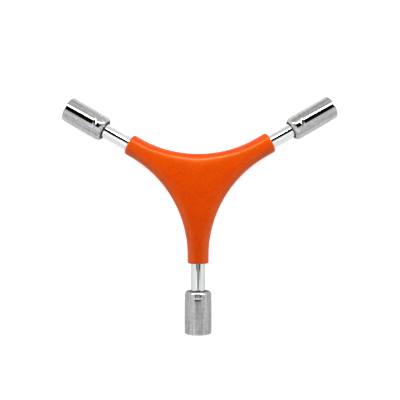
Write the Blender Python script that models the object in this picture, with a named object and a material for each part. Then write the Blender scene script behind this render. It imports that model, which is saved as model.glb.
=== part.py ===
"""Y wrench: a moulded three-armed handle on three round bars, each with a hexagon socket pressed on.

The tool lies flat. The origin is the middle of the handle's back face, +Z points out of its front
face, and the 10 mm arm points along -Y. Every length is in metres. An arm is modelled along +X,
with the tool's centre at zero, and is then turned to its heading and lifted to the bars' plane.
"""
import math
from collections import namedtuple

import bmesh
import bpy
from mathutils import Matrix, Vector

# Handle: one solid moulding, a Y with hollow sides and round arm ends
HANDLE_THICKNESS = 0.0116  # over the flat pads in the middle
PAD_RADIUS = 0.0120  # how far along an arm the pads stay flat
ARM_WALL = 0.0017  # from the bar to the outside of an arm's end
ARM_END_ROUNDING = 0.0009
STRAIGHT_RUN = 0.0038  # the shortest arm's straight end, outside the hollow sides
HANDLE_REACH_8MM = 0.0426  # from the centre to each arm's end face
HANDLE_REACH_9MM = 0.0405
HANDLE_REACH_10MM = 0.0408

# Bars: round, pinched to a wing inside the handle, with four flats in the socket
BAR_DIAMETER = 0.0073
BAR_INNER_END = 0.0120  # from the tool's centre
BAR_SHOWN_8MM = 0.0124  # between the handle and each socket
BAR_SHOWN_9MM = 0.0145
BAR_SHOWN_10MM = 0.0139
BAR_END_CHAMFER = 0.0006
WING_INSET = 0.0040  # from the bar's inner end to the wing
WING_LENGTH = 0.0090
WING_RAMP = 0.0020  # each slope between the round bar and the wing
WING_WIDTH = 0.0096
WING_THICKNESS = 0.0054

# Sockets: turned outside, with a hexagon at the front and a square drive hole at the back
HEXAGON_8MM = 0.0080  # nut sizes, across flats
HEXAGON_9MM = 0.0090
HEXAGON_10MM = 0.0100
NUT_CLEARANCE = 0.0001
HEXAGON_DEPTH = 0.0095
SOCKET_WALL_8MM = 0.00137  # outside the hexagon's corners
SOCKET_WALL_9MM = 0.0012
SOCKET_WALL_10MM = 0.00102
SOCKET_LENGTH_8MM = 0.0238
SOCKET_LENGTH_9MM = 0.0216
SOCKET_LENGTH_10MM = 0.0218
REAR_ROUNDING = 0.0011
FRONT_ROUNDING = 0.0006
GROOVE_PLACE_8MM = 0.0053  # from the rear face to the middle of the ring groove
GROOVE_PLACE_9MM = 0.0047
GROOVE_PLACE_10MM = 0.0039
GROOVE_WIDTH = 0.0018
GROOVE_DEPTH = 0.00014
DRIVE_SQUARE = 0.00635  # across the square hole's flats, a quarter inch
DRIVE_DEPTH = 0.0080
COUNTERSINK_LIP = 0.0003  # from the square's corners out to the countersink's edge
COUNTERSINK_DEPTH = 0.0016
THROUGH_HOLE = 0.0050  # joins the square to the hexagon
LEAD_IN_LIP = 0.0001  # from the hexagon's corners out to the lead-in cone's edge
LEAD_IN_ANGLE = math.radians(35)  # from the front face

SEAT_GAP = 0.0003  # left between pieces that touch
CUT_OVERRUN = 0.0020  # how far a cutter runs past what it cuts
WELD_DISTANCE = 0.000005  # points closer than this become one

# The handle's sections, from the middle of a hollow side to the arm's end
FULLNESS_AT_VALLEY = 3.3  # exponent of the oval section: 2 is round, more is squarer
FULLNESS_AT_END = 2.1
FLAT_AT_VALLEY_SHARE = 0.25  # of a section's half width
FLAT_AT_END_SHARE = 0.08

# Headings are measured from +X, and the arms are evenly spaced
FIRST_HEADING = math.radians(30)
ARM_SPACING = math.radians(120)

# Counts of faces
VALLEY_STATIONS = 12
SECTION_STEPS = 9
ROUNDING_STEPS = 4
GROOVE_STEPS = 4
BAR_FLAT_STEPS = 6
SOCKET_SEGMENTS = 48
SMOOTH_ANGLE = math.radians(35)

# Finishes: colour, roughness, metallic
ORANGE_PLASTIC = ((0.80, 0.085, 0.001), 0.30, 0.0)
BAR_CHROME = ((0.80, 0.81, 0.82), 0.10, 1.0)
SOCKET_CHROME = ((0.62, 0.63, 0.64), 0.22, 1.0)

HEXAGON_SIDES = 6
SQUARE_SIDES = 4
QUARTER_TURN = math.pi / 2

BAR_RADIUS = BAR_DIAMETER / 2
ARM_RADIUS = BAR_RADIUS + ARM_WALL
COUNTERSINK_RADIUS = DRIVE_SQUARE / math.sqrt(2) + COUNTERSINK_LIP

# Each hollow side is one arc that runs parallel to the arms where it meets them
ARC_TURN = QUARTER_TURN - ARM_SPACING / 2  # how far half of the arc turns
ARC_ALONG = min(HANDLE_REACH_8MM, HANDLE_REACH_9MM, HANDLE_REACH_10MM) - STRAIGHT_RUN
ARC_ASIDE = ARC_ALONG / math.tan(ARC_TURN)  # the arc's centre, to an arm's side
ARC_RADIUS = ARC_ASIDE - ARM_RADIUS

Arm = namedtuple("Arm", "label heading handle_reach bar_shown hexagon wall length groove_place")
ARMS = (
    Arm(
        "8mm",
        FIRST_HEADING,
        HANDLE_REACH_8MM,
        BAR_SHOWN_8MM,
        HEXAGON_8MM,
        SOCKET_WALL_8MM,
        SOCKET_LENGTH_8MM,
        GROOVE_PLACE_8MM,
    ),
    Arm(
        "9mm",
        FIRST_HEADING + ARM_SPACING,
        HANDLE_REACH_9MM,
        BAR_SHOWN_9MM,
        HEXAGON_9MM,
        SOCKET_WALL_9MM,
        SOCKET_LENGTH_9MM,
        GROOVE_PLACE_9MM,
    ),
    Arm(
        "10mm",
        FIRST_HEADING + 2 * ARM_SPACING,
        HANDLE_REACH_10MM,
        BAR_SHOWN_10MM,
        HEXAGON_10MM,
        SOCKET_WALL_10MM,
        SOCKET_LENGTH_10MM,
        GROOVE_PLACE_10MM,
    ),
)


def clear_scene():
    for thing in list(bpy.data.objects):
        bpy.data.objects.remove(thing, do_unlink=True)


def finish(name, colour, roughness, metallic):
    material = bpy.data.materials.new(name)
    material.use_nodes = True
    shader = material.node_tree.nodes["Principled BSDF"]
    shader.inputs["Base Color"].default_value = (*colour, 1.0)
    shader.inputs["Roughness"].default_value = roughness
    shader.inputs["Metallic"].default_value = metallic
    material.diffuse_color = (*colour, 1.0)
    return material


def arm_place(arm, along=0.0):
    """Turns a piece modelled along +X to the arm's heading, at the height of the bars' axes."""
    lift = Matrix.Translation((0, 0, HANDLE_THICKNESS / 2))
    return lift @ Matrix.Rotation(arm.heading, 4, "Z") @ Matrix.Translation((along, 0, 0))


def socket_rear(arm):
    return arm.handle_reach + arm.bar_shown


def add_object(name, bm, material=None):
    """Makes the object from a welded shape, with its corners sharp and its round faces smooth."""
    bmesh.ops.remove_doubles(bm, verts=bm.verts, dist=WELD_DISTANCE)
    bmesh.ops.recalc_face_normals(bm, faces=bm.faces)
    mesh = bpy.data.meshes.new(name)
    bm.to_mesh(mesh)
    bm.free()
    mesh.shade_smooth()
    mesh.set_sharp_from_angle(angle=SMOOTH_ANGLE)
    if material:
        mesh.materials.append(material)
    piece = bpy.data.objects.new(name, mesh)
    bpy.context.scene.collection.objects.link(piece)
    return piece


def cut(piece, name, bm, place):
    """Takes a closed shape out of a piece, with a Boolean whose cutter stays out of the build."""
    cutter = add_object(name, bm)
    cutter.matrix_world = place
    cutter.display_type = "WIRE"
    cutter.hide_render = True
    change = piece.modifiers.new(name, "BOOLEAN")
    change.operation = "DIFFERENCE"
    change.object = cutter


def loft(bm, loops, open_start=False):
    """Skins loops of points in turn, joining each point to the same one of the next loop."""
    rings = [[bm.verts.new(point) for point in loop] for loop in loops]
    for near, far in zip(rings, rings[1:]):
        for corner in range(len(near)):
            bm.faces.new((near[corner - 1], near[corner], far[corner], far[corner - 1]))
    bm.faces.new(rings[-1])
    if not open_start:
        bm.faces.new(rings[0][::-1])


def turned(profile):
    """A solid of revolution about X, from points given along the axis and out from it."""
    bm = bmesh.new()
    corners = [bm.verts.new((along, 0, out)) for along, out in profile]
    edges = [bm.edges.new(pair) for pair in zip(corners, corners[1:])]
    bmesh.ops.spin(
        bm,
        geom=corners + edges,
        axis=(1, 0, 0),
        cent=(0, 0, 0),
        steps=SOCKET_SEGMENTS,
        angle=4 * QUARTER_TURN,
        use_merge=True,
    )
    return bm


def prism(sides, across_flats, start, end, turn=0.0):
    """An even-sided bar along X. Unturned, two of its corners point sideways."""
    bm = bmesh.new()
    corner_reach = across_flats / 2 / math.cos(math.pi / sides)
    middle = Matrix.Translation(((start + end) / 2, 0, 0))
    lie_down = Matrix.Rotation(QUARTER_TURN, 4, "Y")
    bmesh.ops.create_cone(
        bm,
        cap_ends=True,
        segments=sides,
        radius1=corner_reach,
        radius2=corner_reach,
        depth=end - start,
        matrix=middle @ Matrix.Rotation(turn, 4, "X") @ lie_down,
    )
    return bm


def blend(share, start, end):
    return start + (end - start) * share


def ease(share):
    """0 to 1 with a level start and end."""
    share = min(max(share, 0.0), 1.0)
    return share * share * (3 - 2 * share)


# Bars


def bar_angles():
    """Directions of a bar's points, so that some fall on the edges of the tang's four flats."""
    half_flat = math.acos((DRIVE_SQUARE / 2 - SEAT_GAP) / BAR_RADIUS)
    angles = []
    for quarter in range(SQUARE_SIDES):
        middle = QUARTER_TURN * quarter + QUARTER_TURN / 2
        for step in range(BAR_FLAT_STEPS + 1):
            angles.append(middle + blend(step / BAR_FLAT_STEPS, -half_flat, half_flat))
        angles.append(middle + QUARTER_TURN / 2)
    return angles


def bar_loop(along, half_width, half_height):
    """A round or pinched section."""
    return [(along, half_width * math.cos(angle), half_height * math.sin(angle)) for angle in bar_angles()]


def tang_loop(along, inset=0.0):
    """A round section with four flats, whose corners point sideways, up and down."""
    flat = DRIVE_SQUARE / 2 - SEAT_GAP - inset
    loop = []
    for angle in bar_angles():
        from_flat = angle % QUARTER_TURN - QUARTER_TURN / 2
        reach = min(BAR_RADIUS - inset, flat / math.cos(from_flat))
        loop.append((along, reach * math.cos(angle), reach * math.sin(angle)))
    return loop


def held_part_loops(swell=0.0):
    """The part of a bar that the handle holds, grown all over by swell."""
    radius = BAR_RADIUS + swell
    end_radius = radius - BAR_END_CHAMFER
    inner_end = BAR_INNER_END - swell
    wing = (WING_WIDTH / 2 + swell, WING_THICKNESS / 2 + swell)
    wing_start = BAR_INNER_END + WING_INSET
    wing_end = wing_start + WING_LENGTH
    return [
        bar_loop(inner_end, end_radius, end_radius),
        bar_loop(inner_end + BAR_END_CHAMFER, radius, radius),
        bar_loop(wing_start, radius, radius),
        bar_loop(wing_start + WING_RAMP, *wing),
        bar_loop(wing_end - WING_RAMP, *wing),
        bar_loop(wing_end, radius, radius),
    ]


def make_bar(arm, material):
    """A bar stays round until the socket's countersink closes in on it, and then has four flats."""
    bm = bmesh.new()
    cone_slope = (COUNTERSINK_RADIUS - DRIVE_SQUARE / 2) / COUNTERSINK_DEPTH
    room = COUNTERSINK_RADIUS - BAR_RADIUS - SEAT_GAP
    tang_start = socket_rear(arm) + room / cone_slope
    tang_end = socket_rear(arm) + DRIVE_DEPTH - SEAT_GAP
    loops = held_part_loops()
    loops.append(bar_loop(tang_start, BAR_RADIUS, BAR_RADIUS))
    loops.append(tang_loop(tang_start))
    loops.append(tang_loop(tang_end - BAR_END_CHAMFER))
    loops.append(tang_loop(tang_end, BAR_END_CHAMFER))
    loft(bm, loops)
    bar = add_object("shank_" + arm.label, bm, material)
    bar.matrix_world = arm_place(arm)


# Handle


def half_section(half_width, half_height, fullness, flat_share):
    """Distances from the arm's crest and heights, from the outline up to the crest.

    The section is a quarter of an oval beside a flat, which takes flat_share of the half width.
    """
    points = []
    for step in range(SECTION_STEPS + 1):
        angle = QUARTER_TURN * step / SECTION_STEPS
        out = math.cos(angle) ** (2 / fullness) if step < SECTION_STEPS else 0.0
        up = math.sin(angle) ** (2 / fullness)
        points.append((half_width * blend(out, flat_share, 1.0), half_height * up))
    points.append((0.0, half_height))
    return points


def section_loop(crest, outward, points):
    """All round an arm: a half section on either side of its crest, above and below.

    outward points in plan from the crest to the outline on the arm's left.
    """
    loop = []
    for side, above in ((1, 1), (-1, 1), (-1, -1), (1, -1)):
        quarter = points if side == above else points[::-1]
        for distance, height in quarter[:-1]:
            loop.append((crest + outward.x * distance, side * outward.y * distance, above * height))
    return loop


def valley_loop(share):
    """The section where the hollow sides have turned by this share of their half arc.

    It runs along the arc's radius, so it is bent at the crest. At share 0 it lies on the lines
    from the tool's centre to the middles of the hollow sides, where the three arms meet.
    """
    angle = ARC_TURN * (1 - share)
    crest = ARC_ALONG - ARC_ASIDE * math.tan(angle)
    half_width = ARC_ASIDE / math.cos(angle) - ARC_RADIUS
    thinning = ease((crest - PAD_RADIUS) / (ARC_ALONG - PAD_RADIUS))
    rounding = ease(share)
    points = half_section(
        half_width,
        blend(thinning, HANDLE_THICKNESS / 2, ARM_RADIUS),
        blend(rounding, FULLNESS_AT_VALLEY, FULLNESS_AT_END),
        blend(rounding, FLAT_AT_VALLEY_SHARE, FLAT_AT_END_SHARE),
    )
    return section_loop(crest, Vector((math.sin(angle), math.cos(angle))), points)


def end_loop(along, radius):
    points = half_section(radius, radius, FULLNESS_AT_END, FLAT_AT_END_SHARE)
    return section_loop(along, Vector((0, 1)), points)


def add_handle_arm(bm, arm):
    """One third of the handle, open where it meets the other two."""
    start = len(bm.verts)
    loops = [valley_loop(step / VALLEY_STATIONS) for step in range(VALLEY_STATIONS + 1)]
    for step in range(ROUNDING_STEPS + 1):
        angle = QUARTER_TURN * step / ROUNDING_STEPS
        along = arm.handle_reach - ARM_END_ROUNDING * (1 - math.sin(angle))
        loops.append(end_loop(along, ARM_RADIUS - ARM_END_ROUNDING * (1 - math.cos(angle))))
    loft(bm, loops, open_start=True)
    bm.verts.ensure_lookup_table()
    bmesh.ops.transform(bm, matrix=arm_place(arm), verts=bm.verts[start:])


def make_handle(material):
    bm = bmesh.new()
    for arm in ARMS:
        add_handle_arm(bm, arm)
    handle = add_object("handle", bm, material)
    bore = BAR_RADIUS + SEAT_GAP
    for arm in ARMS:
        way_out = bar_loop(arm.handle_reach + CUT_OVERRUN, bore, bore)
        pocket = bmesh.new()
        loft(pocket, held_part_loops(SEAT_GAP) + [way_out])
        cut(handle, "pocket_" + arm.label, pocket, arm_place(arm))


# Sockets


def arc(middle, radius, start, end, steps):
    """Points of an arc, given along the axis and out from it."""
    points = []
    for step in range(steps + 1):
        angle = blend(step / steps, start, end)
        points.append((middle[0] + radius * math.cos(angle), middle[1] + radius * math.sin(angle)))
    return points


def hexagon_across(arm):
    return arm.hexagon + NUT_CLEARANCE


def hexagon_corner(arm):
    """From the axis to a corner of the hexagon."""
    return hexagon_across(arm) / 2 / math.cos(math.pi / HEXAGON_SIDES)


def outside_profile(arm):
    """A socket's outside, from the middle of its rear face to the middle of its front face."""
    radius = hexagon_corner(arm) + arm.wall
    groove_radius = ((GROOVE_WIDTH / 2) ** 2 + GROOVE_DEPTH**2) / (2 * GROOVE_DEPTH)
    groove_turn = math.asin(GROOVE_WIDTH / 2 / groove_radius)
    rear_middle = (REAR_ROUNDING, radius - REAR_ROUNDING)
    groove_middle = (arm.groove_place, radius - GROOVE_DEPTH + groove_radius)
    front_middle = (arm.length - FRONT_ROUNDING, radius - FRONT_ROUNDING)
    back, up, down = 2 * QUARTER_TURN, QUARTER_TURN, -QUARTER_TURN
    profile = [(0.0, 0.0)]
    profile += arc(rear_middle, REAR_ROUNDING, back, up, ROUNDING_STEPS)
    profile += arc(groove_middle, groove_radius, down - groove_turn, down + groove_turn, GROOVE_STEPS)
    profile += arc(front_middle, FRONT_ROUNDING, up, 0.0, ROUNDING_STEPS)
    profile.append((arm.length, 0.0))
    return profile


def countersink():
    """The cone at a socket's rear that leads into the square hole."""
    return turned([
        (-CUT_OVERRUN, 0.0),
        (-CUT_OVERRUN, COUNTERSINK_RADIUS),
        (0.0, COUNTERSINK_RADIUS),
        (COUNTERSINK_DEPTH, DRIVE_SQUARE / 2),
        (COUNTERSINK_DEPTH, 0.0),
    ])


def lead_in(arm):
    """The cone at a socket's mouth that guides a nut into the hexagon."""
    edge = hexagon_corner(arm) + LEAD_IN_LIP
    slope = math.tan(LEAD_IN_ANGLE)
    return turned([
        (arm.length - edge * slope, 0.0),
        (arm.length + CUT_OVERRUN, edge + CUT_OVERRUN / slope),
        (arm.length + CUT_OVERRUN, 0.0),
    ])


def make_socket(arm, material):
    place = arm_place(arm, socket_rear(arm))
    socket = add_object("socket_" + arm.label, turned(outside_profile(arm)), material)
    socket.matrix_world = place
    hexagon_start = arm.length - HEXAGON_DEPTH
    past_front = arm.length + CUT_OVERRUN
    corner_up = math.pi / HEXAGON_SIDES
    square = prism(SQUARE_SIDES, DRIVE_SQUARE, -CUT_OVERRUN, DRIVE_DEPTH)
    through = prism(SOCKET_SEGMENTS, THROUGH_HOLE, DRIVE_DEPTH - CUT_OVERRUN, hexagon_start + CUT_OVERRUN)
    hexagon = prism(HEXAGON_SIDES, hexagon_across(arm), hexagon_start, past_front, corner_up)
    cut(socket, "countersink_" + arm.label, countersink(), place)
    cut(socket, "square_" + arm.label, square, place)
    cut(socket, "through_" + arm.label, through, place)
    cut(socket, "hexagon_" + arm.label, hexagon, place)
    cut(socket, "lead_in_" + arm.label, lead_in(arm), place)


def main():
    clear_scene()
    plastic = finish("orange plastic", *ORANGE_PLASTIC)
    bar_chrome = finish("bar chrome", *BAR_CHROME)
    socket_chrome = finish("socket chrome", *SOCKET_CHROME)
    make_handle(plastic)
    for arm in ARMS:
        make_bar(arm, bar_chrome)
        make_socket(arm, socket_chrome)


main()
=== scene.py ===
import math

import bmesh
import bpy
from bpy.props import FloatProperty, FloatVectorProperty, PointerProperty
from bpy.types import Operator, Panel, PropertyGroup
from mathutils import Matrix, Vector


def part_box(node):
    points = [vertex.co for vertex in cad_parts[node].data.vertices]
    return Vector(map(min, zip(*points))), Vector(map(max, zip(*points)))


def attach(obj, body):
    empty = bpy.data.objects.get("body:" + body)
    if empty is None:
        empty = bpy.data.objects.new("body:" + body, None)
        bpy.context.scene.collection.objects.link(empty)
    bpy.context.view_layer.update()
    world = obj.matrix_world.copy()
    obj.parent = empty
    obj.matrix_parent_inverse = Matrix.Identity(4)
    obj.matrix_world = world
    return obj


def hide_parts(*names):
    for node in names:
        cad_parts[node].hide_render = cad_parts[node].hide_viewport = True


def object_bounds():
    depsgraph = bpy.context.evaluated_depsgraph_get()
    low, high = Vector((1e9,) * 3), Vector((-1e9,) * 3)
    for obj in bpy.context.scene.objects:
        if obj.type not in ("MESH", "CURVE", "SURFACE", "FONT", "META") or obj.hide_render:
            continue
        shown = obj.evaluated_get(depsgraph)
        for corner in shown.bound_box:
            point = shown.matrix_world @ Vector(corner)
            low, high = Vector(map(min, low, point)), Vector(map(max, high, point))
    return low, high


bl_info = {
    "name": "Y wrench",
    "version": (1, 0, 0),
    "blender": (4, 5, 0),
    "location": "3D View > Sidebar > Y wrench",
    "description": "Makes a three-way socket wrench on its CAD frame, in a plain studio",
    "category": "Mesh",
}

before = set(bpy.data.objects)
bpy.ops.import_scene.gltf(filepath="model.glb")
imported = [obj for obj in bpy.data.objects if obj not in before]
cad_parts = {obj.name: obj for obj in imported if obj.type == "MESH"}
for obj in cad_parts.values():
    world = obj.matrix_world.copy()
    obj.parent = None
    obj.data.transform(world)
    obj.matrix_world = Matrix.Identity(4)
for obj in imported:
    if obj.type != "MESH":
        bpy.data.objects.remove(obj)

CAD_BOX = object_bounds()
BODY = "root"
LABELS = ("8mm", "9mm", "10mm")
HEADINGS = (math.radians(30), math.radians(150), math.radians(270))
HANDLE_LOW, HANDLE_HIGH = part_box("handle")
BAR_LOW, BAR_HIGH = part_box("shank_10mm")
BAR_HEIGHT = (BAR_LOW.z + BAR_HIGH.z) / 2
BOX_MARGIN = 0.0005  # how far a piece may stand proud of the CAD node that it replaces

FULL_TURN = 2 * math.pi
QUARTER_TURN = FULL_TURN / 4
ARM_SPACING = math.radians(120)
ARC_TURN = QUARTER_TURN - ARM_SPACING / 2  # how far half of a hollow side's arc turns
SQUARE_SIDES = 4
HEXAGON_SIDES = 6
SMOOTH_ANGLE = math.radians(32)
WELD_DISTANCE = 0.000002
CUT_OVERRUN = 0.002
MOST_CORNERS = 4  # a face that a cut leaves with more is divided
EDGE_MARGIN = 0.0001  # a ring of points this far past a curve keeps its shading off the flat side

SECTION_STEPS = 22
VALLEY_STATIONS = 44
ROUNDING_STEPS = 10
BAR_STEPS = 96
SOCKET_STEPS = 192
PROFILE_STEPS = 10

RUDDY = (0.95, 0.7, 1.0)  # the speckle tints the plastic's colour from this
YELLOWY = (1.05, 1.3, 1.0)  # to this
YELLOW_GLOSS = (1.0, 1.0, 0.05, 1.0)
SCUFF_ROUGHNESS = 0.12
DULL_PLATE = 0.96  # brightness of the bars' plate where it is dullest
CLOUD_ROUGHNESS = 0.02
SCRATCH_ROUGHNESS = 0.12
DARK_MARK = 0.78  # brightness of the sockets' turning marks
PALE_MARK = 1.18
BRUSHED_ROUGHNESS = 0.03
HOLLOW_ROUGHNESS = 0.22
# painted shade in the sockets' hollows: near black at the rear, dark grey towards the front with the
# hexagon
SQUARE_HOLE_PAINTED_SHADE = (0.05, 0.05, 0.05, 1.0)
HEXAGON_PAINTED_SHADE = (0.20, 0.19, 0.18, 1.0)

FLOOR_DROP = 0.00002  # from the tool's lowest point to the floor
FLOOR_GLOW = 0.7  # added to the floor's paint where the camera sees it
FLOOR_GLOW_MIRRORED = 0.18  # and where a glossy surface mirrors it
KEY_LENGTH = 0.5
SPOT_LENGTH = 0.025
LAMP_DEPTH = 0.017
SENSOR_WIDTH = 36.0  # in millimetres
CLIP_START = 0.01

WHITE = (1.0, 1.0, 1.0, 1.0)
FAR_WALL_LEFT = (0.65, 0.63, 0.60, 1.0)
FAR_WALL_RIGHT = (0.81, 0.79, 0.75, 1.0)
NEAR_WALL_LEFT = (1.12, 1.14, 1.16, 1.0)
NEAR_WALL_RIGHT = (1.00, 1.01, 1.02, 1.0)
NEAR_WALL_LOW = (0.72, 0.73, 0.74, 1.0)
SIDE_WALLS = (0.84, 0.84, 0.84, 1.0)
STRIP_NEAR = (0.68, 0.68, 0.68, 1.0)
STRIP_FAR = (0.30, 0.30, 0.30, 1.0)
CARD_BLACK = (0.004, 0.004, 0.004, 1.0)
STRIP_MIDDLE = 0.2  # to the right, on a ceiling one unit above the tool
CARD_DIP = 0.13  # how far the card's sides come forward of its middle, on the same ceiling
LOWEST_SLOPE = 0.05  # keeps places on the ceiling from running out to infinity
FILL_LIGHT = 0.03  # on matt surfaces, from all round


# Sizes and colours


class YWRENCH_PG_handle(PropertyGroup):
    reach: FloatVectorProperty(
        name="Reach",
        description="From the tool's centre to the end of the 8, 9 and 10 mm arms",
        default=(0.0426, 0.0405, 0.0408),
        size=3,
        subtype="XYZ_LENGTH",
        unit="LENGTH",
        precision=5,
    )
    thickness: FloatProperty(
        name="Thickness",
        description="Over the flat pads in the middle",
        default=HANDLE_HIGH.z - HANDLE_LOW.z,
        unit="LENGTH",
        precision=5,
    )
    pad_radius: FloatProperty(
        name="Pad radius",
        description="How far along an arm the pads stay flat",
        default=0.0120,
        unit="LENGTH",
        precision=5,
    )
    wall: FloatProperty(
        name="Wall",
        description="From the bar to the outside of an arm's end",
        default=0.0017,
        unit="LENGTH",
        precision=5,
    )
    end_rounding: FloatProperty(
        name="End rounding",
        description="Radius of the edge of an arm's end",
        default=0.0009,
        unit="LENGTH",
        precision=5,
    )
    straight_run: FloatProperty(
        name="Straight run",
        description="Length of the shortest arm's straight end, outside the hollow sides",
        default=0.0038,
        unit="LENGTH",
        precision=5,
    )
    valley_fullness: FloatProperty(
        name="Fullness at a hollow side",
        description="Exponent of the oval section there: 2 is round, more is squarer",
        default=3.3,
        min=2.0,
        max=6.0,
        subtype="FACTOR",
    )
    end_fullness: FloatProperty(
        name="Fullness at an end",
        description="Exponent of the oval section at an arm's end",
        default=2.1,
        min=2.0,
        max=6.0,
        subtype="FACTOR",
    )
    valley_flat: FloatProperty(
        name="Flat at a hollow side",
        description="Share of the half width there that is flat",
        default=0.25,
        min=0.0,
        max=1.0,
        subtype="FACTOR",
    )
    end_flat: FloatProperty(
        name="Flat at an end",
        description="Share of the half width of an arm's end that is flat",
        default=0.08,
        min=0.0,
        max=1.0,
        subtype="FACTOR",
    )
    seam: FloatProperty(
        name="Mould seam",
        description="Height and half width of the fine ridge where the mould's halves met",
        default=0.00005,
        unit="LENGTH",
        precision=5,
    )
    colour: FloatVectorProperty(
        name="Colour",
        description="Orange of the plastic",
        default=(0.615, 0.036, 0.0),
        size=3,
        min=0.0,
        max=1.0,
        subtype="COLOR",
    )
    roughness: FloatProperty(
        name="Roughness",
        description="Of the moulded surface",
        default=0.46,
        min=0.0,
        max=1.0,
        subtype="FACTOR",
    )


class YWRENCH_PG_bars(PropertyGroup):
    diameter: FloatProperty(
        name="Diameter",
        description="Of the round bar",
        default=BAR_HIGH.z - BAR_LOW.z,
        unit="LENGTH",
        precision=5,
    )
    shown: FloatVectorProperty(
        name="Shown",
        description="Length of the 8, 9 and 10 mm bars between the handle and the socket",
        default=(0.0124, 0.0145, 0.0139),
        size=3,
        subtype="XYZ_LENGTH",
        unit="LENGTH",
        precision=5,
    )
    inner_end: FloatProperty(
        name="Inner end",
        description="From the tool's centre to a bar's inner end",
        default=0.0120,
        unit="LENGTH",
        precision=5,
    )
    chamfer: FloatProperty(
        name="Chamfer",
        description="At both ends of a bar",
        default=0.0006,
        unit="LENGTH",
        precision=5,
    )
    wing_inset: FloatProperty(
        name="Wing inset",
        description="From a bar's inner end to its pinched wing",
        default=0.0040,
        unit="LENGTH",
        precision=5,
    )
    wing_length: FloatProperty(
        name="Wing length",
        description="Along the bar, with both slopes",
        default=0.0090,
        unit="LENGTH",
        precision=5,
    )
    wing_ramp: FloatProperty(
        name="Wing ramp",
        description="Length of each slope between the round bar and the wing",
        default=0.0020,
        unit="LENGTH",
        precision=5,
    )
    wing_width: FloatProperty(
        name="Wing width",
        description="Across the wing",
        default=0.0096,
        unit="LENGTH",
        precision=5,
    )
    wing_thickness: FloatProperty(
        name="Wing thickness",
        description="Through the wing",
        default=0.0054,
        unit="LENGTH",
        precision=5,
    )
    fit_gap: FloatProperty(
        name="Fit gap",
        description="Between the bar and what holds it",
        default=0.00006,
        unit="LENGTH",
        precision=5,
    )
    colour: FloatVectorProperty(
        name="Colour",
        description="Of the bright plate",
        default=(0.90, 0.91, 0.92),
        size=3,
        min=0.0,
        max=1.0,
        subtype="COLOR",
    )
    roughness: FloatProperty(
        name="Roughness",
        description="Of the bright plate",
        default=0.02,
        min=0.0,
        max=1.0,
        subtype="FACTOR",
    )


class YWRENCH_PG_sockets(PropertyGroup):
    nut: FloatVectorProperty(
        name="Nut",
        description="Sizes of the three nuts across their flats",
        default=(0.008, 0.009, 0.010),
        size=3,
        subtype="XYZ_LENGTH",
        unit="LENGTH",
        precision=5,
    )
    clearance: FloatProperty(
        name="Clearance",
        description="Of the hexagon over its nut, across flats",
        default=0.0001,
        unit="LENGTH",
        precision=5,
    )
    wall: FloatVectorProperty(
        name="Wall",
        description="Outside the corners of the 8, 9 and 10 mm hexagons",
        default=(0.00137, 0.0012, 0.00102),
        size=3,
        subtype="XYZ_LENGTH",
        unit="LENGTH",
        precision=5,
    )
    length: FloatVectorProperty(
        name="Length",
        description="Of the 8, 9 and 10 mm sockets",
        default=(0.0238, 0.0216, 0.0218),
        size=3,
        subtype="XYZ_LENGTH",
        unit="LENGTH",
        precision=5,
    )
    hexagon_depth: FloatProperty(
        name="Hexagon depth",
        description="From the front face",
        default=0.0095,
        unit="LENGTH",
        precision=5,
    )
    rear_rounding: FloatProperty(
        name="Rear rounding",
        description="How far in from the outside the bevelled rear edge goes",
        default=0.0011,
        unit="LENGTH",
        precision=5,
    )
    rear_run: FloatProperty(
        name="Rear run",
        description="How far along the socket the bevelled rear edge goes",
        default=0.00175,
        unit="LENGTH",
        precision=5,
    )
    rear_break: FloatProperty(
        name="Rear break",
        description="Angle between the socket's side and the start of its bevelled rear edge",
        default=math.radians(12),
        subtype="ANGLE",
    )
    front_rounding: FloatProperty(
        name="Front rounding",
        description="Radius of the front edge",
        default=0.0006,
        unit="LENGTH",
        precision=5,
    )
    groove_place: FloatVectorProperty(
        name="Groove place",
        description="From the rear face to the middle of the 8, 9 and 10 mm sockets' ring grooves",
        default=(0.0053, 0.0047, 0.0039),
        size=3,
        subtype="XYZ_LENGTH",
        unit="LENGTH",
        precision=5,
    )
    groove_width: FloatProperty(
        name="Groove width",
        description="Of the ring groove",
        default=0.0018,
        unit="LENGTH",
        precision=5,
    )
    groove_depth: FloatProperty(
        name="Groove depth",
        description="Of the ring groove",
        default=0.00017,
        unit="LENGTH",
        precision=5,
    )
    drive_square: FloatProperty(
        name="Drive square",
        description="Across the flats of the square hole",
        default=0.00635,
        unit="LENGTH",
        precision=5,
    )
    drive_depth: FloatProperty(
        name="Drive depth",
        description="Of the square hole",
        default=0.0080,
        unit="LENGTH",
        precision=5,
    )
    countersink_lip: FloatProperty(
        name="Countersink lip",
        description="From the square's corners out to the countersink's edge",
        default=0.0003,
        unit="LENGTH",
        precision=5,
    )
    countersink_depth: FloatProperty(
        name="Countersink depth",
        description="Of the cone round the square hole",
        default=0.0016,
        unit="LENGTH",
        precision=5,
    )
    through_hole: FloatProperty(
        name="Through hole",
        description="Diameter of the hole that joins the square to the hexagon",
        default=0.0050,
        unit="LENGTH",
        precision=5,
    )
    lead_in_lip: FloatProperty(
        name="Lead-in lip",
        description="From the hexagon's corners out to the lead-in cone's edge",
        default=0.0001,
        unit="LENGTH",
        precision=5,
    )
    lead_in_angle: FloatProperty(
        name="Lead-in angle",
        description="Of the lead-in cone, from the front face",
        default=math.radians(35),
        subtype="ANGLE",
    )
    colour: FloatVectorProperty(
        name="Colour",
        description="Of the plated outside",
        default=(0.53, 0.53, 0.53),
        size=3,
        min=0.0,
        max=1.0,
        subtype="COLOR",
    )
    roughness: FloatProperty(
        name="Roughness",
        description="Of the plated outside",
        default=0.02,
        min=0.0,
        max=1.0,
        subtype="FACTOR",
    )


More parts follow.
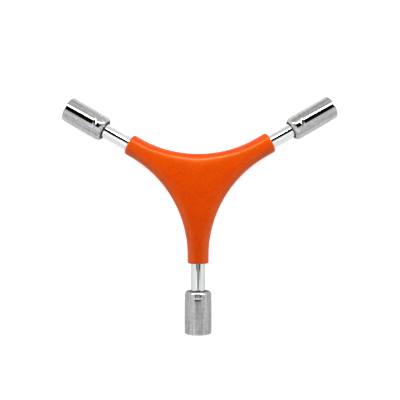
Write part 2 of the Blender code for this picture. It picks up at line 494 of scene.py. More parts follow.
class YWRENCH_PG_stage(PropertyGroup):
    floor_size: FloatProperty(
        name="Floor size",
        description="Length of the floor's sides",
        default=6.0,
        unit="LENGTH",
    )
    floor_colour: FloatVectorProperty(
        name="Floor colour",
        description="Of the plain floor",
        default=(0.66, 0.66, 0.66),
        size=3,
        min=0.0,
        max=1.0,
        subtype="COLOR",
    )
    key_power: FloatProperty(
        name="Key power",
        description="Of the long soft lamp behind the tool",
        default=0.34,
        unit="POWER",
    )
    key_tilt: FloatProperty(
        name="Key tilt",
        description="Of the long soft lamp, from overhead towards +Y",
        default=math.radians(40),
        subtype="ANGLE",
    )
    key_distance: FloatProperty(
        name="Key distance",
        description="From the tool to the long soft lamp",
        default=0.143,
        unit="LENGTH",
    )
    spot_power: FloatProperty(
        name="Spot power",
        description="Of the short lamp at the long one's middle",
        default=0.018,
        unit="POWER",
    )
    side_light: FloatProperty(
        name="Side light",
        description="Strength of the walls on both sides, where they light matt surfaces",
        default=2.3,
        min=0.0,
    )
    camera_place: FloatVectorProperty(
        name="Camera place",
        description="Where the camera looks straight down from",
        default=(0.0008, -0.0264, 0.2780),
        size=3,
        subtype="TRANSLATION",
        unit="LENGTH",
    )
    camera_lens: FloatProperty(
        name="Lens",
        description="Focal length of the camera",
        default=47.9,
        unit="CAMERA",
    )
    camera_shift: FloatVectorProperty(
        name="Shift",
        description="Of the picture's middle from the camera's axis, in picture widths",
        default=(0.0008, 0.0885),
        size=2,
        subtype="XYZ",
    )


class YWRENCH_PG_tool(PropertyGroup):
    handle: PointerProperty(
        name="Handle",
        description="Sizes and finish of the moulded handle",
        type=YWRENCH_PG_handle,
    )
    bars: PointerProperty(
        name="Bars",
        description="Sizes and finish of the three bars",
        type=YWRENCH_PG_bars,
    )
    sockets: PointerProperty(
        name="Sockets",
        description="Sizes and finish of the three sockets",
        type=YWRENCH_PG_sockets,
    )
    stage: PointerProperty(
        name="Stage",
        description="Floor, light and camera",
        type=YWRENCH_PG_stage,
    )


# Shader nodes


class Value:
    """A node's output. Python's operators on it add Math nodes."""

    def __init__(self, nodes, socket):
        self.nodes = nodes
        self.socket = socket

    def output(self, name):
        """Another output of the same node."""
        return Value(self.nodes, self.socket.node.outputs[name])

    def math(self, operation, first, second):
        return self.nodes.add("ShaderNodeMath", {"operation": operation}, {0: first, 1: second})

    def __add__(self, other):
        return self.math("ADD", self, other)

    def __radd__(self, other):
        return self.math("ADD", other, self)

    def __sub__(self, other):
        return self.math("SUBTRACT", self, other)

    def __rsub__(self, other):
        return self.math("SUBTRACT", other, self)

    def __mul__(self, other):
        return self.math("MULTIPLY", self, other)

    def __rmul__(self, other):
        return self.math("MULTIPLY", other, self)

    def __truediv__(self, other):
        return self.math("DIVIDE", self, other)

    def __rtruediv__(self, other):
        return self.math("DIVIDE", other, self)

    def __abs__(self):
        return self.nodes.add("ShaderNodeMath", {"operation": "ABSOLUTE"}, {0: self})


class Nodes:
    """Adds nodes to the tree of a material or of the world."""

    def __init__(self, tree):
        tree.nodes.clear()
        self.tree = tree

    def add(self, kind, settings, sockets, output=0):
        """Adds one node, with its settings first and then the values or links of its sockets."""
        node = self.tree.nodes.new(kind)
        for name, value in settings.items():
            setattr(node, name, value)
        for name, value in sockets.items():
            if isinstance(value, Value):
                self.tree.links.new(value.socket, node.inputs[name])
            else:
                node.inputs[name].default_value = value
        return Value(self, node.outputs[output]) if node.outputs else None

    def fade(self, value, start, end):
        """0 where value is below start, 1 where it is above end, and smooth between them."""
        return self.add(
            "ShaderNodeMapRange",
            {"interpolation_type": "SMOOTHSTEP"},
            {"Value": value, "From Min": start, "From Max": end},
        )

    def band(self, value, start, end, softness):
        """1 between start and end, and 0 outside them."""
        rise = self.fade(value, start - softness, start + softness)
        return rise * (1 - self.fade(value, end - softness, end + softness))

    def blend_colours(self, factor, first, second):
        """The first colour where the factor is 0, and the second where it is 1."""
        # The Mix node's colour sockets go by number, because its other kinds share their names
        return self.add(
            "ShaderNodeMix",
            {"data_type": "RGBA"},
            {0: factor, 6: first, 7: second},
            output=2,
        )

    def split(self, vector):
        """The X, Y and Z of a vector."""
        x = self.add("ShaderNodeSeparateXYZ", {}, {"Vector": vector})
        return x, x.output("Y"), x.output("Z")

    def rays(self):
        """Whether a ray comes from the camera, and whether a surface reflected it or let it through."""
        seen = self.add("ShaderNodeLightPath", {}, {}, output="Is Camera Ray")
        return seen, seen.output("Is Glossy Ray") + seen.output("Is Transmission Ray")

    def noise(self, place, scale, detail=2.0, dimensions="3D"):
        """A cloudy pattern around 0.5, finer with a larger scale."""
        where = "W" if dimensions == "1D" else "Vector"
        return self.add(
            "ShaderNodeTexNoise",
            {"noise_dimensions": dimensions},
            {where: place, "Scale": scale, "Detail": detail},
        )

    def along_arm(self, heading):
        """Object coordinates turned so that X runs along an arm and its axis is at zero."""
        place = self.add("ShaderNodeTexCoord", {}, {}, output="Object")
        return self.add(
            "ShaderNodeMapping",
            {"vector_type": "TEXTURE"},
            {"Vector": place, "Location": (0, 0, BAR_HEIGHT), "Rotation": (0, 0, heading)},
        )

    def stretch(self, place, share):
        """Coordinates on which a pattern is drawn out along X, to this share of its fineness."""
        return self.add("ShaderNodeMapping", {}, {"Vector": place, "Scale": (share, 1.0, 1.0)})

    def bump(self, height, distance, strength, normal=None):
        """A normal with a relief of this height, over another relief where one is given."""
        sockets = {"Height": height, "Distance": distance, "Strength": strength}
        if normal:
            sockets["Normal"] = normal
        return self.add("ShaderNodeBump", {}, sockets)

    def surface(self, **sockets):
        """The finish itself, joined to the material's output."""
        shader = self.add("ShaderNodeBsdfPrincipled", {}, sockets)
        self.add("ShaderNodeOutputMaterial", {}, {"Surface": shader})


def new_material(name):
    material = bpy.data.materials.new(name)
    material.use_nodes = True
    return material, Nodes(material.node_tree)


def rgba(colour, brightness=1.0):
    return (*(channel * brightness for channel in colour), 1.0)


def tinted(colour, tint):
    """A colour with each of its channels multiplied by the tint's."""
    return (*(channel * share for channel, share in zip(colour, tint)), 1.0)


# Shapes


def arm_place(heading, along=0.0):
    """Turns a shape laid along +X to an arm's heading, at the height of the bars' axes."""
    lift = Matrix.Translation((0, 0, BAR_HEIGHT))
    return lift @ Matrix.Rotation(heading, 4, "Z") @ Matrix.Translation((along, 0, 0))


def blend(share, start, end):
    return start + (end - start) * share


def ease(share):
    """0 to 1 with a level start and end."""
    share = min(max(share, 0.0), 1.0)
    return share * share * (3 - 2 * share)


def start_ring(bm, places):
    """A closed ring of edges with its points at these places."""
    ring = bmesh.ops.create_circle(bm, segments=len(places), radius=1.0)["verts"]
    for vert, place in zip(ring, places):
        vert.co = place
    return ring


def ring_edges(bm, ring):
    return [bm.edges.get(pair) for pair in zip(ring, ring[1:] + ring[:1])]


def extrude_ring(bm, ring, places):
    """Extrudes a ring and lays the points of the new one at these places."""
    extruded = set(bmesh.ops.extrude_edge_only(bm, edges=ring_edges(bm, ring))["geom"])
    new_ring = []
    for vert, place in zip(ring, places):
        neighbours = [edge.other_vert(vert) for edge in vert.link_edges]
        twin = next(neighbour for neighbour in neighbours if neighbour in extruded)
        twin.co = place
        new_ring.append(twin)
    return new_ring


def close_ring(bm, ring):
    bmesh.ops.edgeloop_fill(bm, edges=ring_edges(bm, ring))


def spun(profile, steps):
    """A solid of revolution about X, from points given along the axis and out from it."""
    bm = bmesh.new()
    corners = [bm.verts.new((along, 0, out)) for along, out in profile]
    edges = [bm.edges.new(pair) for pair in zip(corners, corners[1:])]
    bmesh.ops.spin(
        bm,
        geom=corners + edges,
        axis=(1, 0, 0),
        cent=(0, 0, 0),
        steps=steps,
        angle=FULL_TURN,
        use_merge=True,
    )
    return bm


def corner_reach(sides, across_flats):
    """From the middle of an even-sided section to its corners."""
    return across_flats / 2 / math.cos(math.pi / sides)


def prism(sides, across_flats, start, end, turn=0.0):
    """An even-sided bar along X. Unturned, two of its corners point sideways."""
    bm = bmesh.new()
    middle = Matrix.Translation(((start + end) / 2, 0, 0))
    lie_down = Matrix.Rotation(QUARTER_TURN, 4, "Y")
    bmesh.ops.create_cone(
        bm,
        cap_ends=True,
        segments=sides,
        radius1=corner_reach(sides, across_flats),
        radius2=corner_reach(sides, across_flats),
        depth=end - start,
        matrix=middle @ Matrix.Rotation(turn, 4, "X") @ lie_down,
    )
    return bm


def arc(middle, radius, start, end):
    """Points of an arc, given along the axis and out from it."""
    points = []
    for step in range(PROFILE_STEPS + 1):
        angle = blend(step / PROFILE_STEPS, start, end)
        points.append((middle[0] + radius * math.cos(angle), middle[1] + radius * math.sin(angle)))
    return points


def new_object(name, bm):
    """Makes an object at the origin from a closed shape."""
    bmesh.ops.remove_doubles(bm, verts=bm.verts, dist=WELD_DISTANCE)
    bmesh.ops.recalc_face_normals(bm, faces=bm.faces)
    mesh = bpy.data.meshes.new(name)
    bm.to_mesh(mesh)
    bm.free()
    piece = bpy.data.objects.new(name, mesh)
    bpy.context.scene.collection.objects.link(piece)
    return piece


def take_out(piece, cutters):
    """Takes closed shapes out of a piece."""
    for hollow in cutters:
        cutter = new_object("cutter", hollow)
        cut = piece.modifiers.new("cut", "BOOLEAN")
        cut.operation = "DIFFERENCE"
        cut.object = cutter
        result = piece.evaluated_get(bpy.context.evaluated_depsgraph_get())
        shape = bpy.data.meshes.new_from_object(result)
        piece.modifiers.clear()
        piece.data = shape
        bpy.data.objects.remove(cutter, do_unlink=True)


def mend(mesh):
    """Joins the doubled points that cuts leave, and divides the faces with many corners."""
    bm = bmesh.new()
    bm.from_mesh(mesh)
    bmesh.ops.remove_doubles(bm, verts=bm.verts, dist=WELD_DISTANCE)
    bmesh.ops.dissolve_degenerate(bm, dist=WELD_DISTANCE, edges=bm.edges)
    many_cornered = [face for face in bm.faces if len(face.verts) > MOST_CORNERS]
    bmesh.ops.triangulate(bm, faces=many_cornered)
    bm.to_mesh(mesh)
    bm.free()


def smooth(piece):
    """Smooth shading, but for edges sharper than the smooth angle."""
    piece.data.shade_smooth()
    piece.data.set_sharp_from_angle(angle=SMOOTH_ANGLE)


def put_on(piece, node, material):
    """Gives a finished piece its material, and lets it stand for a CAD node of the frame."""
    low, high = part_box(node)
    for vert in piece.data.vertices:
        for axis in range(3):
            if not low[axis] - BOX_MARGIN < vert.co[axis] < high[axis] + BOX_MARGIN:
                raise RuntimeError(f"{piece.name} sticks out of {node}")
    piece.data.materials.clear()
    piece.data.materials.append(material)
    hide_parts(node)
    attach(piece, BODY)


# Handle


class HandleShape:
    """The sections of the moulded handle, worked out from its sizes."""

    def __init__(self, handle, bars):
        self.sizes = handle
        self.bars = bars
        self.arm_radius = bars.diameter / 2 + handle.wall
        self.arc_along = min(handle.reach) - handle.straight_run
        self.arc_aside = self.arc_along / math.tan(ARC_TURN)
        self.arc_radius = self.arc_aside - self.arm_radius

    def half_section(self, half_width, half_height, fullness, flat_share):
        """Distances from the arm's crest and heights, from the mould seam up to the crest."""
        seam = self.sizes.seam
        points = [(half_width + seam, 0.0), (half_width, seam)]
        for step in range(1, SECTION_STEPS):
            angle = QUARTER_TURN * step / SECTION_STEPS
            out = math.cos(angle) ** (2 / fullness)
            up = math.sin(angle) ** (2 / fullness)
            points.append((half_width * blend(out, flat_share, 1.0), half_height * up))
        points.append((half_width * flat_share, half_height))
        points.append((0.0, half_height))
        return points

    def loop(self, crest, outward, points):
        """All round an arm: a half section on either side of its crest, above and below."""
        places = []
        for side, above in ((1, 1), (-1, 1), (-1, -1), (1, -1)):
            quarter = points if side == above else points[::-1]
            for distance, height in quarter[:-1]:
                place = (crest + outward.x * distance, side * outward.y * distance, above * height)
                places.append(place)
        return places

    def valley_loop(self, share):
        """The section where the hollow sides have turned by this share of their half arc."""
        angle = ARC_TURN * (1 - share)
        crest = self.arc_along - self.arc_aside * math.tan(angle)
        half_width = self.arc_aside / math.cos(angle) - self.arc_radius
        pad = self.sizes.pad_radius
        thinning = ease((crest - pad) / (self.arc_along - pad))
        rounding = ease(share)
        points = self.half_section(
            half_width,
            blend(thinning, self.sizes.thickness / 2, self.arm_radius),
            blend(rounding, self.sizes.valley_fullness, self.sizes.end_fullness),
            blend(rounding, self.sizes.valley_flat, self.sizes.end_flat),
        )
        return self.loop(crest, Vector((math.sin(angle), math.cos(angle))), points)

    def end_loop(self, along, radius):
        points = self.half_section(radius, radius, self.sizes.end_fullness, self.sizes.end_flat)
        return self.loop(along, Vector((0, 1)), points)

    def outside_loops(self, reach):
        loops = [self.valley_loop(step / VALLEY_STATIONS) for step in range(VALLEY_STATIONS + 1)]
        rounding = self.sizes.end_rounding
        loops.append(self.end_loop(reach - rounding - EDGE_MARGIN, self.arm_radius))
        for step in range(ROUNDING_STEPS + 1):
            angle = QUARTER_TURN * step / ROUNDING_STEPS
            along = reach - rounding * (1 - math.sin(angle))
            loops.append(self.end_loop(along, self.arm_radius - rounding * (1 - math.cos(angle))))
        return loops

    def pocket_loops(self, reach, count):
        """The hole that holds a bar, from the arm's end inwards, in loops of as many points."""
        loops = held_part_loops(self.bars, count, self.bars.fit_gap)
        bore = self.bars.diameter / 2 + self.bars.fit_gap
        loops.append(round_loop(reach, bore, bore, count))
        return loops[::-1]


def round_loop(along, half_width, half_height, count):
    """A round or pinched section, whose points start on +Y and go round by way of +Z."""
    places = []
    for step in range(count):
        angle = FULL_TURN * step / count
        places.append((along, half_width * math.cos(angle), half_height * math.sin(angle)))
    return places


def held_part_loops(bars, count, swell=0.0):
    """The part of a bar that the handle holds, grown all over by swell."""
    radius = bars.diameter / 2 + swell
    end_radius = radius - bars.chamfer
    inner_end = bars.inner_end - swell
    wing = (bars.wing_width / 2 + swell, bars.wing_thickness / 2 + swell)
    wing_start = bars.inner_end + bars.wing_inset
    wing_end = wing_start + bars.wing_length
    return [
        round_loop(inner_end, end_radius, end_radius, count),
        round_loop(inner_end + bars.chamfer, radius, radius, count),
        round_loop(wing_start, radius, radius, count),
        round_loop(wing_start + bars.wing_ramp, *wing, count),
        round_loop(wing_end - bars.wing_ramp, *wing, count),
        round_loop(wing_end, radius, radius, count),
    ]


def orange_plastic(handle):
    """Moulded plastic with a fine spark-eroded grain and slight waviness."""
    material, nodes = new_material("orange plastic")
    place = nodes.add("ShaderNodeTexCoord", {}, {}, output="Object")
    cloud = nodes.noise(place, scale=90.0)
    grain = nodes.noise(place, scale=5200.0, detail=3.0)
    scuffs = nodes.noise(place, scale=700.0, detail=4.0)
    speckle = nodes.noise(place, scale=900.0, detail=3.0)
    mottle = nodes.fade(speckle * 0.8 + cloud * 0.2, start=0.3, end=0.7)
    ruddy = tinted(handle.colour, RUDDY)
    yellowy = tinted(handle.colour, YELLOWY)
    waviness = nodes.bump(cloud, distance=0.0004, strength=0.12)
    texture = nodes.bump(grain * 0.3 + speckle, distance=0.00006, strength=0.4, normal=waviness)
    nodes.surface(**{
        "Base Color": nodes.blend_colours(mottle, ruddy, yellowy),
        "Roughness": handle.roughness + (scuffs - 0.5) * SCUFF_ROUGHNESS,
        "Normal": texture,
        "IOR": 1.5,
        "Specular Tint": YELLOW_GLOSS,
        "Coat Weight": 0.22,
        "Coat Roughness": 0.15,
        "Coat IOR": 1.45,
    })
    return material


class YWRENCH_OT_handle(Operator):
    """Makes the moulded three-armed handle, with the holes that hold the bars"""

    bl_idname = "ywrench.handle"
    bl_label = "Make the handle"

    def execute(self, context):
        tool = context.scene.ywrench
        shape = HandleShape(tool.handle, tool.bars)
        bm = bmesh.new()
        for heading, reach in zip(HEADINGS, tool.handle.reach):
            third = bmesh.new()
            loops = shape.outside_loops(reach)
            ring = start_ring(third, loops[0])
            for places in loops[1:] + shape.pocket_loops(reach, len(ring)):
                ring = extrude_ring(third, ring, places)
            close_ring(third, ring)
            third.transform(arm_place(heading))
            mesh = bpy.data.meshes.new("third")
            third.to_mesh(mesh)
            third.free()
            bm.from_mesh(mesh)
            bpy.data.meshes.remove(mesh)
        piece = new_object("moulded_handle", bm)
        smooth(piece)
        put_on(piece, "handle", orange_plastic(tool.handle))
        return {"FINISHED"}


# Bars


def countersink_radius(sockets):
    """From a socket's axis to the edge of the cone round its square hole."""
    return sockets.drive_square / math.sqrt(2) + sockets.countersink_lip


def tang_loop(along, bars, sockets, inset, count):
    """A round section with four flats, whose corners point sideways, up and down."""
    flat = sockets.drive_square / 2 - bars.fit_gap - inset
    places = []
    for _, across, up in round_loop(along, 1.0, 1.0, count):
        from_flat = math.atan2(up, across) % QUARTER_TURN - QUARTER_TURN / 2
        reach = min(bars.diameter / 2 - inset, flat / math.cos(from_flat))
        places.append((along, reach * across, reach * up))
    return places


def bar_chrome(bars, label, heading):
    """Bright chrome on ground bar: fine rings round it and a few hairline scratches along it."""
    material, nodes = new_material("bar chrome " + label)
    place = nodes.along_arm(heading)
    along, _, _ = nodes.split(place)
    rings = nodes.noise(along, scale=9000.0, dimensions="1D")
    cloud = nodes.noise(place, scale=260.0, detail=3.0)
    streaks = nodes.noise(nodes.stretch(place, share=0.06), scale=5200.0)
    scratches = nodes.fade(streaks, start=0.66, end=0.72)
    roughness = bars.roughness + cloud * CLOUD_ROUGHNESS + scratches * SCRATCH_ROUGHNESS
    nodes.surface(**{
        "Base Color": nodes.blend_colours(cloud, rgba(bars.colour, DULL_PLATE), rgba(bars.colour)),
        "Metallic": 1.0,
        "Roughness": roughness,
        "Normal": nodes.bump(rings, distance=0.000004, strength=0.25),
    })
    return material


class YWRENCH_OT_bars(Operator):
    """Makes the three round bars, with their wings in the handle and their tangs in the sockets"""

    bl_idname = "ywrench.bars"
    bl_label = "Make the bars"

    def execute(self, context):
        tool = context.scene.ywrench
        bars, sockets = tool.bars, tool.sockets
        radius = bars.diameter / 2
        countersink = countersink_radius(sockets)
        cone_slope = (countersink - sockets.drive_square / 2) / sockets.countersink_depth
        for label, heading, reach, shown in zip(LABELS, HEADINGS, tool.handle.reach, bars.shown):
            tang_start = reach + shown + (countersink - radius - bars.fit_gap) / cone_slope
            tang_end = reach + shown + sockets.drive_depth - bars.fit_gap
            bm = bmesh.new()
            loops = held_part_loops(bars, BAR_STEPS)
            loops.append(round_loop(reach, radius, radius, BAR_STEPS))
            loops.append(round_loop(tang_start, radius, radius, BAR_STEPS))
            loops.append(tang_loop(tang_start + bars.fit_gap, bars, sockets, 0.0, BAR_STEPS))
            loops.append(tang_loop(tang_end - bars.chamfer, bars, sockets, 0.0, BAR_STEPS))
            loops.append(tang_loop(tang_end, bars, sockets, bars.chamfer, BAR_STEPS))
            ring = start_ring(bm, loops[0])
            close_ring(bm, ring)
            for places in loops[1:]:
                ring = extrude_ring(bm, ring, places)
            close_ring(bm, ring)
            bm.transform(arm_place(heading))
            piece = new_object("round_bar_" + label, bm)
            smooth(piece)
            put_on(piece, "shank_" + label, bar_chrome(bars, label, heading))
        return {"FINISHED"}


# Sockets


def socket_outside(sockets, radius, length, groove_place):
    """A socket's outside, from the middle of its rear face to the middle of its front face."""
    rear, front = sockets.rear_rounding, sockets.front_rounding
    half_groove, depth = sockets.groove_width / 2, sockets.groove_depth
    groove_radius = (half_groove**2 + depth**2) / (2 * depth)
    groove_turn = math.asin(half_groove / groove_radius)
    groove_middle = (groove_place, radius - depth + groove_radius)
    down, up = -QUARTER_TURN, QUARTER_TURN
    run = sockets.rear_run
    aside, inward = math.sin(sockets.rear_break), math.cos(sockets.rear_break)
    bevel_radius = (run**2 + rear**2) / (2 * (rear * inward - run * aside))
    bevel_middle = (run + bevel_radius * aside, radius - bevel_radius * inward)
    bevel_start = math.atan2(radius - rear - bevel_middle[1], -bevel_middle[0])
    sides = (
        arc(bevel_middle, bevel_radius, bevel_start, up + sockets.rear_break),
        arc(groove_middle, groove_radius, down - groove_turn, down + groove_turn),
        arc((length - front, radius - front), front, up, 0.0),
    )
    profile = [(0.0, 0.0), (0.0, radius - rear - EDGE_MARGIN)]
    for curve in sides:
        start, end = curve[0][0] - EDGE_MARGIN, curve[-1][0] + EDGE_MARGIN
        if start > 0:
            profile.append((start, radius))
        profile += curve
        if end < length:
            profile.append((end, radius))
    profile += [(length, radius - front - EDGE_MARGIN), (length, 0.0)]
    return profile


def socket_cutters(sockets, across_flats, corner, length):
    """The hollows of a socket: countersink, square, through hole, hexagon and lead-in cone."""
    square = sockets.drive_square
    sink = countersink_radius(sockets)
    hexagon_start = length - sockets.hexagon_depth
    past_front = length + CUT_OVERRUN
    slope = math.tan(sockets.lead_in_angle)
    edge = corner + sockets.lead_in_lip
    countersink = [
        (-CUT_OVERRUN, 0.0),
        (-CUT_OVERRUN, sink),
        (0.0, sink),
        (sockets.countersink_depth, square / 2),
        (sockets.countersink_depth, 0.0),
    ]
    lead_in = [
        (length - edge * slope, 0.0),
        (past_front, edge + CUT_OVERRUN / slope),
        (past_front, 0.0),
    ]
    through_start = sockets.drive_depth - CUT_OVERRUN
    through_end = hexagon_start + CUT_OVERRUN
    flat_to_side = math.pi / HEXAGON_SIDES
    return [
        spun(countersink, SOCKET_STEPS),
        prism(SQUARE_SIDES, square, -CUT_OVERRUN, sockets.drive_depth),
        prism(SOCKET_STEPS, sockets.through_hole, through_start, through_end),
        prism(HEXAGON_SIDES, across_flats, hexagon_start, past_front, flat_to_side),
        spun(lead_in, SOCKET_STEPS),
    ]


def socket_chrome(sockets, label, heading, rear, length, corner):
    """Chrome over fine turning marks outside. In the hollows a rougher finish, with painted shade: near
    black at the rear and dark grey towards the front.
    """
    material, nodes = new_material("socket chrome " + label)
    place = nodes.along_arm(heading)
    along, across, up = nodes.split(place)
    off_axis = nodes.add(
        "ShaderNodeVectorMath",
        {"operation": "LENGTH"},
        {0: nodes.add("ShaderNodeCombineXYZ", {}, {"Y": across, "Z": up})},
        output="Value",
    )
    inside = 1 - nodes.fade(off_axis, start=corner + 0.00005, end=corner + 0.00025)
    rings = nodes.noise(along, scale=5200.0, detail=3.0, dimensions="1D")
    cloud = nodes.noise(place, scale=520.0, detail=4.0)
    brushed = nodes.noise(nodes.stretch(place, share=0.05), scale=1500.0, detail=3.0)
    turned = nodes.noise(along, scale=1900.0, detail=1.0, dimensions="1D")
    marks = nodes.fade(brushed * 0.5 + turned * 0.15 + cloud * 0.35, start=0.36, end=0.64)
    dark_mark = rgba(sockets.colour, DARK_MARK)
    pale_mark = rgba(sockets.colour, PALE_MARK)
    outside_colour = nodes.blend_colours(marks, dark_mark, pale_mark)
    # painted shade: the hollows and the rear face's middle go near black at the rear and dark grey
    # towards the front
    front_part = nodes.fade(along, start=rear + length * 0.3, end=rear + length * 0.5)
    hollow_painted_shade = nodes.blend_colours(front_part, SQUARE_HOLE_PAINTED_SHADE, HEXAGON_PAINTED_SHADE)
    roughness = sockets.roughness + brushed * BRUSHED_ROUGHNESS + inside * HOLLOW_ROUGHNESS
    nodes.surface(**{
        "Base Color": nodes.blend_colours(inside, outside_colour, hollow_painted_shade),
        "Metallic": 1.0,
        "Roughness": roughness,
        "Normal": nodes.bump(rings, distance=0.00002, strength=0.12),
    })
    return material


class YWRENCH_OT_sockets(Operator):
    """Makes the three sockets, turned outside, with their square and hexagon holes"""

    bl_idname = "ywrench.sockets"
    bl_label = "Make the sockets"

    def execute(self, context):
        tool = context.scene.ywrench
        sockets = tool.sockets
        arms = zip(
            LABELS,
            HEADINGS,
            tool.handle.reach,
            tool.bars.shown,
            sockets.nut,
            sockets.wall,
            sockets.length,
            sockets.groove_place,
        )
        for label, heading, reach, shown, nut, wall, length, groove_place in arms:
            across_flats = nut + sockets.clearance
            corner = corner_reach(HEXAGON_SIDES, across_flats)
            rear = reach + shown
            outside = socket_outside(sockets, corner + wall, length, groove_place)
            piece = new_object("socket_shell_" + label, spun(outside, SOCKET_STEPS))
            take_out(piece, socket_cutters(sockets, across_flats, corner, length))
            mend(piece.data)
            piece.data.transform(arm_place(heading, rear))
            smooth(piece)
            finish = socket_chrome(sockets, label, heading, rear, length, corner)
            put_on(piece, "socket_" + label, finish)
        return {"FINISHED"}


# Stage


def white_floor(stage):
    """A pale floor that the camera sees as white, with the tool's shadow on it."""
    material, nodes = new_material("floor")
    paint = nodes.add("ShaderNodeBsdfDiffuse", {}, {"Color": rgba(stage.floor_colour)})
    seen, mirrored = nodes.rays()
    strength = seen * FLOOR_GLOW + mirrored * FLOOR_GLOW_MIRRORED
    glow = nodes.add("ShaderNodeEmission", {}, {"Strength": strength})
    both = nodes.add("ShaderNodeAddShader", {}, {0: paint, 1: glow})
    nodes.add("ShaderNodeOutputMaterial", {}, {"Surface": both})
    return material


def wall_colours(nodes, across, back, up):
    """Warm grey walls behind the tool, bright cool ones before it and plain grey ones at its sides."""
    to_the_right = nodes.fade(across, start=-0.4, end=0.4)
    far_wall = nodes.blend_colours(to_the_right, FAR_WALL_LEFT, FAR_WALL_RIGHT)
    near_wall = nodes.blend_colours(to_the_right, NEAR_WALL_LEFT, NEAR_WALL_RIGHT)
    near_wall = nodes.blend_colours(nodes.fade(up, start=0.1, end=0.6), NEAR_WALL_LOW, near_wall)
    walls = nodes.blend_colours(nodes.fade(back, start=-0.1, end=0.3), near_wall, far_wall)
    to_the_side = nodes.fade(abs(across), start=0.5, end=0.7)
    return nodes.blend_colours(to_the_side, walls, SIDE_WALLS)


def overhead_colours(nodes, across, back, up, walls):
    """The walls with a black card overhead and a grey strip before it, as glossy surfaces see them."""
    height = nodes.add("ShaderNodeMath", {"operation": "MAXIMUM"}, {0: up, 1: LOWEST_SLOPE})
    right = across / height
    behind = back / height
    aside = abs(right)
    from_strip_middle = abs(right - STRIP_MIDDLE)
    strip_end = nodes.fade(from_strip_middle, start=0.4, end=1.0)
    strip = nodes.band(behind, start=-0.23, end=0.0, softness=0.03) * (1 - strip_end)
    strip_shade = nodes.fade(behind, start=-0.15, end=-0.09)
    strip_colour = nodes.blend_colours(strip_shade, STRIP_NEAR, STRIP_FAR)
    dip = nodes.fade(aside, start=0.24, end=0.34) * CARD_DIP
    card_end = nodes.fade(aside, start=0.55, end=0.65)
    card = nodes.band(behind + dip, start=0.0, end=0.42, softness=0.008) * (1 - card_end)
    above = nodes.blend_colours(strip, walls, strip_colour)
    return nodes.blend_colours(card, above, CARD_BLACK)


def studio_sky(world, stage):
    """White to the camera. Glossy surfaces see pale walls and a dark card, and matt ones side light."""
    nodes = Nodes(world.node_tree)
    direction = nodes.add("ShaderNodeTexCoord", {}, {}, output="Generated")
    across, back, up = nodes.split(direction)
    walls = wall_colours(nodes, across, back, up)
    above = overhead_colours(nodes, across, back, up, walls)
    seen, mirrored = nodes.rays()
    shown = seen + mirrored
    side_light = nodes.fade(abs(across), start=0.3, end=0.9) * stage.side_light + FILL_LIGHT
    colour = nodes.blend_colours(seen, above, WHITE)
    strength = shown + side_light * (1 - shown)
    light = nodes.add("ShaderNodeBackground", {}, {"Color": colour, "Strength": strength})
    nodes.add("ShaderNodeOutputWorld", {}, {"Surface": light})


def add_floor(stage):
    """A plain square floor just under the tool."""
    bm = bmesh.new()
    bmesh.ops.create_grid(
        bm,
        x_segments=1,
        y_segments=1,
        size=stage.floor_size / 2,
        matrix=Matrix.Translation((0, 0, CAD_BOX[0].z - FLOOR_DROP)),
    )
    floor = new_object("floor", bm)
    floor.data.materials.append(white_floor(stage))


def add_lamp(stage, name, power, length):
    """A lamp behind and above the tool, turned to face its centre."""
    light = bpy.data.lights.new(name, "AREA")
    light.shape = "RECTANGLE"
    light.size = length
    light.size_y = LAMP_DEPTH
    light.energy = power
    tilt = stage.key_tilt
    lamp = bpy.data.objects.new(name, light)
    lamp.location = Vector((0, math.sin(tilt), math.cos(tilt))) * stage.key_distance
    lamp.rotation_euler = (-tilt, 0, 0)
    bpy.context.scene.collection.objects.link(lamp)


def add_camera(stage):
    """A camera that looks straight down, which is how it stands unturned."""
    lens = bpy.data.cameras.new("camera")
    lens.lens = stage.camera_lens
    lens.sensor_width = SENSOR_WIDTH
    lens.shift_x, lens.shift_y = stage.camera_shift
    lens.clip_start = CLIP_START
    camera = bpy.data.objects.new("camera", lens)
    camera.location = stage.camera_place
    bpy.context.scene.collection.objects.link(camera)
    bpy.context.scene.camera = camera


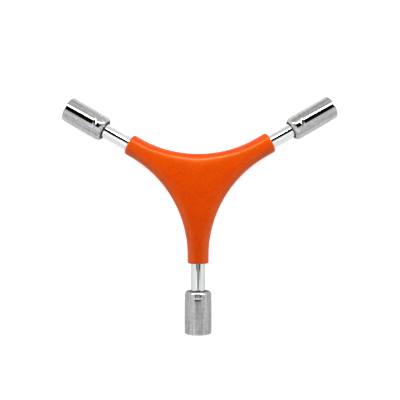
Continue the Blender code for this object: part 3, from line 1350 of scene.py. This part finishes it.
class YWRENCH_OT_stage(Operator):
    """Makes the floor, the soft light and the camera"""

    bl_idname = "ywrench.stage"
    bl_label = "Make the stage"

    def execute(self, context):
        stage = context.scene.ywrench.stage
        add_floor(stage)
        world = bpy.data.worlds.new("studio")
        world.use_nodes = True
        studio_sky(world, stage)
        context.scene.world = world
        add_lamp(stage, "key", stage.key_power, KEY_LENGTH)
        add_lamp(stage, "spot", stage.spot_power, SPOT_LENGTH)
        add_camera(stage)
        context.scene.view_settings.view_transform = "Standard"
        return {"FINISHED"}


class YWRENCH_PT_sidebar(Panel):
    """Lists the sizes, the colours and the steps that make the tool"""

    bl_idname = "YWRENCH_PT_sidebar"
    bl_label = "Y wrench"
    bl_space_type = "VIEW_3D"
    bl_region_type = "UI"
    bl_category = "Y wrench"

    def draw(self, context):
        tool = context.scene.ywrench
        groups = (
            ("ywrench.handle", tool.handle),
            ("ywrench.bars", tool.bars),
            ("ywrench.sockets", tool.sockets),
            ("ywrench.stage", tool.stage),
        )
        for operator, group in groups:
            box = self.layout.box()
            box.operator(operator)
            for name in group.bl_rna.properties.keys():
                if name not in ("rna_type", "name"):
                    box.prop(group, name)


CLASSES = (
    YWRENCH_PG_handle,
    YWRENCH_PG_bars,
    YWRENCH_PG_sockets,
    YWRENCH_PG_stage,
    YWRENCH_PG_tool,
    YWRENCH_OT_handle,
    YWRENCH_OT_bars,
    YWRENCH_OT_sockets,
    YWRENCH_OT_stage,
    YWRENCH_PT_sidebar,
)


def register():
    for each in CLASSES:
        bpy.utils.register_class(each)
    bpy.types.Scene.ywrench = PointerProperty(
        name="Y wrench",
        description="Sizes and finishes of the Y wrench",
        type=YWRENCH_PG_tool,
    )


def unregister():
    del bpy.types.Scene.ywrench
    for each in reversed(CLASSES):
        bpy.utils.unregister_class(each)


def main():
    register()
    bpy.ops.ywrench.handle()
    bpy.ops.ywrench.bars()
    bpy.ops.ywrench.sockets()
    bpy.ops.ywrench.stage()


if __name__ == "__main__":
    main()
